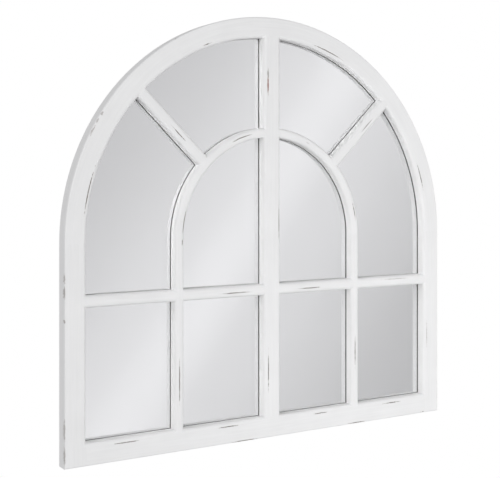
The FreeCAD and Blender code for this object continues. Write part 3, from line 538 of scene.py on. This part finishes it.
# The mirror is 3 mm float glass, cut to the arch, silvered and varnished on its back. The
# eye looks through the clear glass to the bright film, so each bar stands off its own
# image, and a thin dark line runs where the two meet.
glass_low, glass_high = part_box("mirror_glass")
glass_radius = (glass_high.x - glass_low.x) / 2
glass_spring = glass_high.z - glass_radius
film_thickness = 0.1 * MM
film_gap = 0.02 * MM
film_front = glass_high.y - film_thickness
arc_steps = 128
glass_ior = 1.5
glass_tint = "#FCFCFC"
glass_clear = "#FFFFFF"
wipe_size = 250.0
film_tint = "#F4F4F5"
film_bright = "#F8F8F9"
pour_size = 143.0


def arched_plate(name, front, back):
    """A flat plate with the mirror's arched outline between two depths."""
    outline = [(-glass_radius, glass_low.z), (glass_radius, glass_low.z)]
    for step in range(arc_steps + 1):
        turn = math.pi * step / arc_steps
        outline.append((glass_radius * math.cos(turn), glass_spring + glass_radius * math.sin(turn)))
    mesh = bpy.data.meshes.new(name)
    build = bmesh.new()
    corners = [build.verts.new((x, back, z)) for x, z in outline]
    face = build.faces.new(corners)
    swept = bmesh.ops.extrude_face_region(build, geom=[face])
    moved = [v for v in swept["geom"] if isinstance(v, bmesh.types.BMVert)]
    bmesh.ops.translate(build, verts=moved, vec=(0, front - back, 0))
    bmesh.ops.recalc_face_normals(build, faces=build.faces)
    build.to_mesh(mesh)
    build.free()
    plate = bpy.data.objects.new(name, mesh)
    scene.collection.objects.link(plate)
    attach(plate, "mirror")
    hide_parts("mirror_glass")
    return plate


pane = arched_plate("clear_glass", glass_low.y + film_gap, film_front - film_gap)
pane.visible_shadow = False
clear = new_material("float_glass")
tree = clear.node_tree
place = add(tree, "TexCoord").outputs["Object"]
wiped = add(
    tree, "TexNoise", {"Vector": place, "Scale": 1 / (wipe_size * MM), "Detail": 5.0}
).outputs[0]
tint = add(
    tree, "Mix", {0: wiped, 6: paint(glass_tint), 7: paint(glass_clear)}, data_type="RGBA"
).outputs[2]
glass = add(tree, "BsdfPrincipled", {
    "Base Color": tint,
    "Roughness": 0.0,
    "IOR": glass_ior,
    "Transmission Weight": 1.0,
})
add(tree, "OutputMaterial", {"Surface": glass.outputs[0]})
pane.data.materials.append(clear)

film = arched_plate("silvered_back", film_front, glass_high.y)
silver = new_material("silver_film")
tree = silver.node_tree
place = add(tree, "TexCoord").outputs["Object"]
poured = add(
    tree, "TexNoise", {"Vector": place, "Scale": 1 / (pour_size * MM), "Detail": 3.0}
).outputs[0]
tone = add(
    tree, "Mix", {0: poured, 6: paint(film_tint), 7: paint(film_bright)}, data_type="RGBA"
).outputs[2]
bright = add(tree, "BsdfPrincipled", {"Base Color": tone, "Metallic": 1.0, "Roughness": 0.0})
add(tree, "OutputMaterial", {"Surface": bright.outputs[0]})
film.data.materials.append(silver)

# The dowels and tongues are cut from plain beech rod and strip, left bare for the glue. The
# eye gets warm wood with small dark flecks. Its pores are finer in life, and are drawn
# coarser here so that they show.
joinery = (
    "floating_tenons",
    "rail_dowels",
    "upright_dowels",
    "transom_end_dowels",
    "transom_leg_dowels",
    "mullion_dowels",
    "spoke_dowels",
)
fleck_brown = "#8A6440"
fleck_size = 2.0
fleck_edge, fleck_core, fleck_strength = 0.25, 0.1, 0.6
pore_size = 1.11
pore_depth = 0.05
rod = new_material("bare_beech_rod")
lay_on(rod, joinery)
tree = rod.node_tree
place = add(tree, "TexCoord").outputs["Object"]
pores = add(
    tree, "TexNoise", {"Vector": place, "Scale": 1 / (pore_size * MM), "Detail": 4.0}
).outputs[0]
flecks = add(tree, "TexVoronoi", {"Vector": place, "Scale": 1 / (fleck_size * MM)}).outputs[0]
fleck = add(
    tree, "MapRange",
    {"Value": flecks, "From Min": fleck_edge, "From Max": fleck_core, "To Max": fleck_strength},
).outputs[0]
wood = add(
    tree, "Mix", {0: pores, 6: paint(beech_dark), 7: paint(beech_pale)}, data_type="RGBA"
).outputs[2]
wood = add(tree, "Mix", {0: fleck, 6: wood, 7: paint(fleck_brown)}, data_type="RGBA").outputs[2]
height = add(tree, "Math", {0: pores, 1: pore_depth * MM}, operation="MULTIPLY").outputs[0]
relief = add(tree, "Bump", {"Height": height, "Distance": 1.0}).outputs[0]
finish = add(tree, "BsdfPrincipled", {"Base Color": wood, "Roughness": 0.7, "Normal": relief})
add(tree, "OutputMaterial", {"Surface": finish.outputs[0]})

# The backing board is hardboard, pressed from wood fibre on a wire screen. The eye gets
# brown felt, paler and darker in patches, with the woven print of the screen. Its fibres
# are finer in life, and are drawn coarser here so that they show.
fibre_brown = "#7B5638"
fibre_pale = "#9C7450"
patch_size = 71.4
fibre_size = 2.22
fibre_depth = 0.12
felt_from, felt_to = 0.7, 1.3
screen_pitch = 2.0
screen_depth = 0.08
hardboard = new_material("pressed_hardboard")
lay_on(hardboard, ["backing_board"])
tree = hardboard.node_tree
place = add(tree, "TexCoord").outputs["Object"]
patches = add(
    tree, "TexNoise", {"Vector": place, "Scale": 1 / (patch_size * MM), "Detail": 3.0}
).outputs[0]
fibres = add(
    tree, "TexNoise",
    {"Vector": place, "Scale": 1 / (fibre_size * MM), "Detail": 6.0, "Distortion": 1.5},
).outputs[0]
felt = add(tree, "Math", {0: patches, 1: fibres}, operation="ADD").outputs[0]
felt = add(
    tree, "MapRange", {"Value": felt, "From Min": felt_from, "From Max": felt_to}
).outputs[0]
brown = add(
    tree, "Mix", {0: felt, 6: paint(fibre_brown), 7: paint(fibre_pale)}, data_type="RGBA"
).outputs[2]
part = add(tree, "SeparateXYZ", {0: place}).outputs
wires = []
for axis in ("X", "Z"):
    turn = add(
        tree, "Math", {0: part[axis], 1: math.tau / (screen_pitch * MM)}, operation="MULTIPLY"
    ).outputs[0]
    wires.append(add(tree, "Math", {0: turn}, operation="SINE").outputs[0])
woven = add(tree, "Math", {0: wires[0], 1: wires[1]}, operation="MULTIPLY").outputs[0]
height = add(tree, "Math", {0: woven, 1: screen_depth * MM}, operation="MULTIPLY").outputs[0]
height = add(
    tree, "Math", {0: fibres, 1: fibre_depth * MM, 2: height}, operation="MULTIPLY_ADD"
).outputs[0]
relief = add(tree, "Bump", {"Height": height, "Distance": 1.0}).outputs[0]
finish = add(tree, "BsdfPrincipled", {"Base Color": brown, "Roughness": 0.85, "Normal": relief})
add(tree, "OutputMaterial", {"Surface": finish.outputs[0]})

# The tabs, straps, rings and screws are steel, plated with bright zinc. The eye gets a cool
# grey metal, cloudy from the bath and duller where it is darker, with fine drawn scratches.
fittings = (
    "backing_tabs",
    "left_hanger_strap",
    "right_hanger_strap",
    "left_hanger_ring",
    "right_hanger_ring",
    "hanger_screws",
)
zinc_bright = "#C3C6CA"
zinc_dull = "#989CA1"
zinc_rough, zinc_smooth = 0.45, 0.24
bath_size = 5.56
scratch_length, scratch_width, scratch_depth = 3.33, 0.4, 0.01
plating = new_material("zinc_plated_steel")
lay_on(plating, fittings)
tree = plating.node_tree
place = add(tree, "TexCoord").outputs["Object"]
bath = add(
    tree, "TexNoise", {"Vector": place, "Scale": 1 / (bath_size * MM), "Detail": 3.0}
).outputs[0]
stretch = (1 / (scratch_length * MM), 1 / (scratch_width * MM), 1 / (scratch_width * MM))
drawn = add(tree, "VectorMath", {0: place, 1: stretch}, operation="MULTIPLY").outputs[0]
scratch = add(tree, "TexNoise", {"Vector": drawn, "Scale": 1.0, "Detail": 3.0}).outputs[0]
zinc = add(
    tree, "Mix", {0: bath, 6: paint(zinc_dull), 7: paint(zinc_bright)}, data_type="RGBA"
).outputs[2]
gloss = add(
    tree, "MapRange", {"Value": bath, "To Min": zinc_rough, "To Max": zinc_smooth}
).outputs[0]
height = add(tree, "Math", {0: scratch, 1: scratch_depth * MM}, operation="MULTIPLY").outputs[0]
relief = add(tree, "Bump", {"Height": height, "Distance": 1.0}).outputs[0]
finish = add(tree, "BsdfPrincipled", {
    "Base Color": zinc,
    "Metallic": 1.0,
    "Roughness": gloss,
    "Normal": relief,
})
add(tree, "OutputMaterial", {"Surface": finish.outputs[0]})

# The two feet are moulded grey rubber, stuck on at the bottom corners. The eye gets a matt
# grey skin with a little dust in it. Its moulded grain is finer in life, and is drawn
# coarser here so that it shows.
rubber_grey = "#6E6F71"
rubber_dust = "#8B8B8C"
skin_grain = 0.833
skin_depth = 0.03
dust_patch = 6.25
dusty_from, dusty_to = 0.45, 0.7
rubber = new_material("moulded_rubber")
lay_on(rubber, ["wall_bumpers"])
tree = rubber.node_tree
place = add(tree, "TexCoord").outputs["Object"]
skin = add(
    tree, "TexNoise", {"Vector": place, "Scale": 1 / (skin_grain * MM), "Detail": 3.0}
).outputs[0]
dust = add(
    tree, "TexNoise", {"Vector": place, "Scale": 1 / (dust_patch * MM), "Detail": 4.0}
).outputs[0]
dusty = add(
    tree, "MapRange", {"Value": dust, "From Min": dusty_from, "From Max": dusty_to}
).outputs[0]
grey = add(
    tree, "Mix", {0: dusty, 6: paint(rubber_grey), 7: paint(rubber_dust)}, data_type="RGBA"
).outputs[2]
height = add(tree, "Math", {0: skin, 1: skin_depth * MM}, operation="MULTIPLY").outputs[0]
relief = add(tree, "Bump", {"Height": height, "Distance": 1.0}).outputs[0]
finish = add(tree, "BsdfPrincipled", {"Base Color": grey, "Roughness": 0.8, "Normal": relief})
add(tree, "OutputMaterial", {"Surface": finish.outputs[0]})
